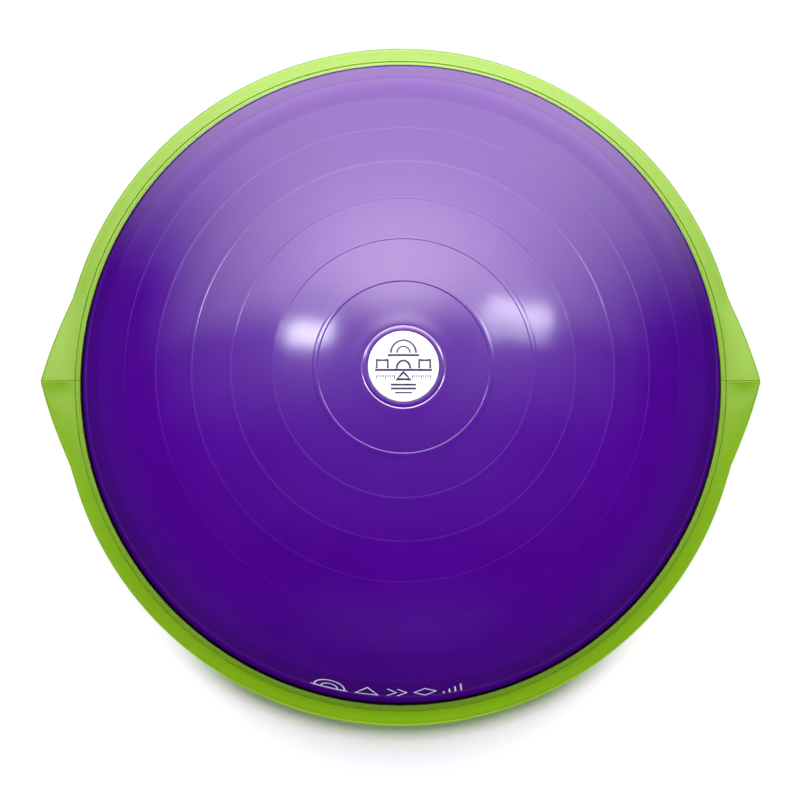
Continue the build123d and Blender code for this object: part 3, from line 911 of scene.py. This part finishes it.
def ink_material(name, colour, lighter):
    f = Finish(name)
    tone = f.mix(
        f.mottle(scale=900.0, detail=3.0, roughness=0.6, span=(0.35, 0.7)), colour, lighter
    )
    rough = f.mottle(scale=200.0, detail=2.0, roughness=0.5, span=(0.3, 0.7), to=(0.24, 0.36))
    f.set(Base_Color=tone, Roughness=rough)
    f.bump(f.noise(scale=1600.0, detail=2.0, roughness=0.5), distance=0.00002, strength=0.4)
    return f.material


def rubber_material(name, grey):
    f = Finish(name)
    dust = f.mottle(scale=60.0, detail=4.0, roughness=0.6, span=(0.4, 0.8), to=(0.0, 0.5))
    tone = f.mix(dust, (grey, grey, grey * 1.05), (grey * 2.4, grey * 2.35, grey * 2.3))
    rough = f.mottle(scale=150.0, detail=3.0, roughness=0.6, span=(0.3, 0.7), to=(0.62, 0.8))
    f.set(Base_Color=tone, Roughness=rough, IOR=1.5)
    f.bump(f.noise(scale=1400.0, detail=3.0, roughness=0.6), distance=0.00007, strength=0.6)
    return f.material


def steel_material():
    f = Finish("screw_steel")
    brushed = f.noise(scale=500.0, detail=3.0, roughness=0.6, stretch=(1.0, 1.0, 0.12))
    cloud = f.mottle(scale=220.0, detail=2.0, roughness=0.5, span=(0.3, 0.7))
    tone = f.mix(cloud, (0.52, 0.52, 0.52), (0.66, 0.65, 0.62))
    rough = f.remap(brushed, span=(0.3, 0.7), to=(0.24, 0.42))
    f.set(Base_Color=tone, Metallic=1.0, Roughness=rough)
    f.bump(brushed, distance=0.00003, strength=0.5)
    return f.material


def plastic_material(name, colour, lighter, rough=(0.32, 0.45)):
    f = Finish(name)
    tone = f.mix(
        f.mottle(scale=45.0, detail=3.0, roughness=0.6, span=(0.3, 0.7)), colour, lighter
    )
    roughness = f.mottle(scale=180.0, detail=3.0, roughness=0.6, span=(0.3, 0.7), to=rough)
    f.set(Base_Color=tone, Roughness=roughness, IOR=1.48)
    f.bump(f.noise(scale=2400.0, detail=2.0, roughness=0.6), distance=0.00003, strength=0.6)
    return f.material


def paint(obj, material):
    """Puts one material on an object's own slots, so that a shared CAD mesh isn't changed."""
    if not obj.material_slots:
        obj.data.materials.append(material)
    for slot in obj.material_slots:
        slot.link = "OBJECT"
        slot.material = material


pvc = pvc_material()
rim_green = green_material("rim_green", brightness=1.0, grain=0.00003)
base_green = green_material("base_green", brightness=0.94, grain=0.00005)
badge_print = badge_material()
ink_dark = ink_material("ink_purple", colour=(0.012, 0.001, 0.062), lighter=(0.020, 0.002, 0.085))
ink_pale = ink_material("ink_lilac", colour=(0.86, 0.72, 0.98), lighter=(0.95, 0.84, 1.0))
foot_rubber = rubber_material("foot_rubber", grey=0.022)
seal_rubber = rubber_material("seal_rubber", grey=0.012)
steel = steel_material()
deck_plastic = plastic_material(
    "deck_plastic", colour=(0.018, 0.018, 0.02), lighter=(0.03, 0.03, 0.032)
)
valve_plastic = plastic_material(
    "valve_plastic", colour=(0.62, 0.62, 0.6), lighter=(0.72, 0.72, 0.7)
)
plug_plastic = plastic_material(
    "plug_plastic", colour=(0.78, 0.78, 0.76), lighter=(0.85, 0.85, 0.83), rough=(0.24, 0.36)
)

dome = build_dome()
paint(dome, pvc)
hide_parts("dome_shell")
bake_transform(dome)

front_mark = build_front_mark()
paint(front_mark, ink_pale)
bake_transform(front_mark)

badge = build_badge()
paint(badge, badge_print)
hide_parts("apex_badge")
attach(badge, "dome")

badge_mark = build_badge_mark()
paint(badge_mark, ink_dark)
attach(badge_mark, "dome")

rim = build_rim()
paint(rim, rim_green)
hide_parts("rim_cover")
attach(rim, "platform")

# CAD pieces that stay as they are
CAD_FINISHES = {
    "base_shell": base_green,
    "deck_plate": deck_plastic,
    "seal_ring": seal_rubber,
    "rim_screws": steel,
    "deck_screws": steel,
    "valve_body": valve_plastic,
    "valve_gasket": seal_rubber,
    "valve_nut": valve_plastic,
    "valve_plug": plug_plastic,
    **{f"foot_{i}": foot_rubber for i in range(1, 9)},
}
for node_name, finish in CAD_FINISHES.items():
    paint(frame["nodes"][node_name], finish)


# ------------------------------------------------------------------ floor
FLOOR_HALF = 6.0
FLOOR_Z = -0.3 * MM


def floor_material():
    f = Finish("studio_floor")
    f.set(Base_Color=(0.88, 0.825, 0.92), Roughness=0.9, Specular_IOR_Level=0.0)
    path = f.new("ShaderNodeLightPath")
    geometry = f.new("ShaderNodeNewGeometry")
    position = f.new("ShaderNodeSeparateXYZ")
    f.link(geometry.outputs["Position"], position.inputs[0])
    x, y = position.outputs[0], position.outputs[1]
    radius = f.level_length(x, y)
    # seen as a paper sweep lit from within, so that only the deepest shade at the front shows
    front = f.share_of(f.calc("MULTIPLY", y, -1.0), radius, least=0.01)
    paper = f.glow("ShaderNodeEmission", colour=(1, 1, 1), strength=1.05)
    shade = f.calc("MULTIPLY", f.ease(front, span=(0.70, 0.92)), 0.88)
    shade = f.calc("ADD", shade, 0.12)
    shade = f.calc("MULTIPLY", shade, f.ease(radius, span=(0.40, 0.47), to=(1.0, 0.0)))
    seen = f.mix_shader(shade, paper, f.shader.outputs[0])
    # its shine in the glossy pieces: bright towards the back, dark close to the object
    lobe = f.narrow_lobe(x, y, radius, least=0.01)
    reach = f.calc(
        "ADD",
        f.ease(radius, span=(0.33, 0.40), to=(0.0, 1.5)),
        f.ease(radius, span=(0.40, 0.7), to=(0.0, 1.5)),
    )
    strength = f.calc("MULTIPLY", lobe, reach)
    shine = f.glow("ShaderNodeEmission", colour=(1.12, 0.86, 1.08), strength=strength)
    top = f.mix_shader(path.outputs["Is Glossy Ray"], seen, shine)
    # seen from below, the floor is not there
    clear = f.new("ShaderNodeBsdfTransparent")
    surface = f.mix_shader(geometry.outputs["Backfacing"], top, clear.outputs[0])
    f.link(surface, f.find("OUTPUT_MATERIAL").inputs["Surface"])
    return f.material


def build_floor():
    mesh = bpy.data.meshes.new("studio_floor")
    signs = ((-1, -1), (1, -1), (1, 1), (-1, 1))
    verts = [(x * FLOOR_HALF, y * FLOOR_HALF, FLOOR_Z) for x, y in signs]
    mesh.from_pydata(verts, [], [(0, 1, 2, 3)])
    obj = bpy.data.objects.new("studio_floor", mesh)
    scene.collection.objects.link(obj)
    mesh.materials.append(floor_material())
    return obj


floor = build_floor()

# ------------------------------------------------------------------ lights
# floor, green mouldings and all other pieces are lit apart
lit_floor = bpy.data.collections.new("lit_floor")
lit_floor.objects.link(floor)
lit_rim = bpy.data.collections.new("lit_rim")
lit_object = bpy.data.collections.new("lit_object")
for obj in bpy.data.objects:
    if obj.type == "MESH" and obj is not floor:
        green = obj is rim or obj is frame["nodes"]["base_shell"]
        (lit_rim if green else lit_object).objects.link(obj)


def area_light(name, at, aim, size, radiance, receivers, highlight):
    """A soft light facing a point; it shows only as a highlight or only as diffuse light."""
    data = bpy.data.lights.new(name, "AREA")
    data.shape = "RECTANGLE"
    data.size, data.size_y = size
    data.energy = radiance * math.pi * size[0] * size[1]
    obj = bpy.data.objects.new(name, data)
    obj.location = at
    obj.rotation_mode = "QUATERNION"
    obj.rotation_quaternion = (Vector(at) - Vector(aim)).to_track_quat("Z", "Y")
    obj.visible_glossy = highlight
    obj.visible_diffuse = not highlight
    obj.visible_camera = False
    scene.collection.objects.link(obj)
    obj.light_linking.receiver_collection = receivers
    return obj


def away(azimuth, elevation, distance):
    """A point at a bearing measured from +Y towards +X."""
    bearing, climb = math.radians(azimuth), math.radians(elevation)
    return (
        distance * math.sin(bearing) * math.cos(climb),
        distance * math.cos(bearing) * math.cos(climb),
        distance * math.sin(climb) + 0.05,
    )


CENTRE = (0, 0, 0.08)
LOW_CENTRE = (0, 0, 0.05)
FLOOR_CENTRE = (0, 0, 0)
# name, azimuth, elevation, distance, size, radiance, aim, what it lights
DIFFUSE_LIGHTS = (
    ("key", 0, 60, 3.0, (1.7, 1.3), 9.0, CENTRE, lit_object),
    ("overhead", 0, 88, 2.8, (2.6, 2.6), 2.4, CENTRE, lit_object),
    ("front_fill", 180, 22, 3.0, (2.4, 1.0), 2.2, CENTRE, lit_object),
    ("side_left", -55, 32, 3.0, (1.2, 1.0), 4.2, CENTRE, lit_object),
    ("side_right", 50, 32, 3.0, (1.2, 1.0), 3.6, CENTRE, lit_object),
    ("rim_key", 0, 60, 3.0, (1.7, 1.3), 4.3, CENTRE, lit_rim),
    ("rim_overhead", 0, 88, 2.8, (2.6, 2.6), 1.8, CENTRE, lit_rim),
    ("rim_left", -76, 36, 3.0, (1.2, 1.0), 6.8, CENTRE, lit_rim),
    ("rim_right", 76, 36, 3.0, (1.2, 1.0), 6.8, CENTRE, lit_rim),
    ("rim_front", 180, -8.0, 3.0, (3.0, 0.45), 21.0, LOW_CENTRE, lit_rim),
    ("floor_key", 0, 67.5, 3.0, (1.0, 1.55), 27.0, FLOOR_CENTRE, lit_floor),
    ("floor_soft", 180, 70, 3.0, (2.4, 1.6), 1.2, FLOOR_CENTRE, lit_floor),
)
for name, azimuth, elevation, distance, size, radiance, aim, receivers in DIFFUSE_LIGHTS:
    at = away(azimuth, elevation, distance)
    light = area_light(name, at, aim, size, radiance, receivers, highlight=False)
    if name == "rim_front":
        # it stands for light off the white floor, so the floor mustn't shade it
        light.light_linking.blocker_collection = lit_rim

# softboxes overhead that show only as highlights, measured from a point near the crown
PANEL_RISE = 2.6
PANEL_FROM_Y, PANEL_FROM_Z = 0.04, 0.21
# name, edges as slopes from that point (x low, x high, y low, y high), radiance
CEILING_PANELS = (
    ("softbox_left", (-0.520, -0.290, 0.178, 0.288), 25.5),
    ("softbox_right", (0.395, 0.78, 0.290, 0.405), 15.0),
    ("softbox_right_low", (0.395, 0.74, 0.205, 0.31), 8.0),
)
for name, slopes, radiance in CEILING_PANELS:
    x0, x1, y0, y1 = (slope * PANEL_RISE for slope in slopes)
    x, y = (x0 + x1) / 2, (y0 + y1) / 2 + PANEL_FROM_Y
    at = (x, y, PANEL_RISE + PANEL_FROM_Z)
    area_light(name, at, (x, y, 0), (x1 - x0, y1 - y0), radiance, lit_object, highlight=True)

# ------------------------------------------------------------------ world
WALL_STRENGTH = 8.0
# the wall of light: degrees above the horizon, share of WALL_STRENGTH
WALL_LEVELS = (
    (-90, 0.10), (-30, 0.22), (-10, 0.36), (0, 0.46), (15, 0.60),
    (30, 0.70), (42, 0.78), (52, 0.92), (62, 1.03), (90, 1.05),
)


def wall_ramp(nodes, z):
    """Brightness of the wall of light by height."""
    ramp = nodes.new("ShaderNodeValToRGB")
    ramp.color_ramp.interpolation = "B_SPLINE"
    stops = ramp.color_ramp.elements
    while len(stops) > 1:
        stops.remove(stops[-1])
    for i, (deg, level) in enumerate(WALL_LEVELS):
        position = (deg + 90) / 180
        stop = stops[0] if i == 0 else stops.new(position)
        stop.position = position
        stop.color = (level, level, level, 1)
    turn = nodes.calc("MULTIPLY", nodes.calc("ARCSINE", z), 1 / math.pi)
    nodes.link(nodes.calc("ADD", turn, 0.5), ramp.inputs[0])
    return ramp.outputs[0]


def build_world():
    """A wall of light at the back for reflections, and a pale ground for the camera."""
    world = bpy.data.worlds.new("studio")
    scene.world = world
    world.use_nodes = True
    world.node_tree.nodes.clear()
    nodes = Nodes(world.node_tree)
    calc, ease = nodes.calc, nodes.ease

    direction = nodes.new("ShaderNodeSeparateXYZ")
    nodes.link(nodes.new("ShaderNodeTexCoord").outputs["Generated"], direction.inputs[0])
    x, y, z = direction.outputs
    level = nodes.level_length(x, y)
    across = calc("MAXIMUM", nodes.share_of(y, level, least=0.001), 0.0)
    high = calc("POWER", across, 1.22)
    # low down the wall of light is narrower, and turned a little to the right
    low = nodes.narrow_lobe(x, y, level, least=0.001)
    lobe = calc(
        "ADD",
        calc("MULTIPLY", high, ease(z, span=(0.15, 0.80))),
        calc("MULTIPLY", low, ease(z, span=(0.15, 0.80), to=(1.0, 0.0))),
    )
    # its upper edge is level, a nearly straight line overhead, bowed a little at the sides
    up = calc("MAXIMUM", z, 0.02)
    back_slope = calc("DIVIDE", y, up)
    side_slope = calc("DIVIDE", x, up)
    bow = calc("MULTIPLY", calc("MULTIPLY", side_slope, side_slope), 1.3)
    bow = calc("MINIMUM", bow, 0.05)
    edge = ease(calc("SUBTRACT", back_slope, bow), span=(0.155, 0.425))
    strength = calc("MULTIPLY", calc("MULTIPLY", wall_ramp(nodes, z), lobe), WALL_STRENGTH)
    strength = calc("MULTIPLY", strength, edge)
    # a little light from overhead all round, fading to the front
    spread = calc(
        "ADD",
        ease(y, span=(-0.22, 0.12), to=(0.0, 0.85)),
        ease(y, span=(-0.68, -0.45), to=(0.0, 0.12)),
    )
    haze = calc("MULTIPLY", ease(z, span=(0.30, 0.95)), spread)
    strength = calc("ADD", strength, haze)
    shine = nodes.glow("ShaderNodeBackground", colour=(1.12, 0.95, 0.98), strength=strength)
    pale = nodes.glow("ShaderNodeBackground", colour=(0.965, 0.965, 0.97), strength=1.0)
    path = nodes.new("ShaderNodeLightPath")
    surface = nodes.mix_shader(path.outputs["Is Camera Ray"], shine, pale)
    nodes.link(surface, nodes.new("ShaderNodeOutputWorld").inputs["Surface"])
    world.cycles_visibility.diffuse = False


build_world()

# ------------------------------------------------------------------ camera
# looks almost straight down past the origin; the sideways shift brings the origin back to the
# middle of the picture's width
LENS = 63.873
SENSOR = 36.0
CAMERA_DISTANCE = 1.40
CAMERA_TILT = math.radians(86.1)
CAMERA_X = -0.018
SHIFT_Y = -0.019375

camera_data = bpy.data.cameras.new("camera")
camera = bpy.data.objects.new("camera", camera_data)
scene.collection.objects.link(camera)
look = Vector((0, math.cos(CAMERA_TILT), -math.sin(CAMERA_TILT)))
camera.location = (CAMERA_X, -CAMERA_DISTANCE * look[1], -CAMERA_DISTANCE * look[2])
camera.rotation_mode = "QUATERNION"
camera.rotation_quaternion = look.to_track_quat("-Z", "Y")
camera_data.sensor_width = SENSOR
camera_data.lens = LENS
camera_data.shift_x = -LENS * CAMERA_X / (CAMERA_DISTANCE * SENSOR)
camera_data.shift_y = SHIFT_Y
camera_data.clip_start, camera_data.clip_end = 0.01, 50
scene.camera = camera

scene.view_settings.view_transform = "Standard"
scene.view_settings.look = "None"
scene.view_settings.exposure = 0.0
scene.view_settings.gamma = 1.0

bpy.context.view_layer.update()
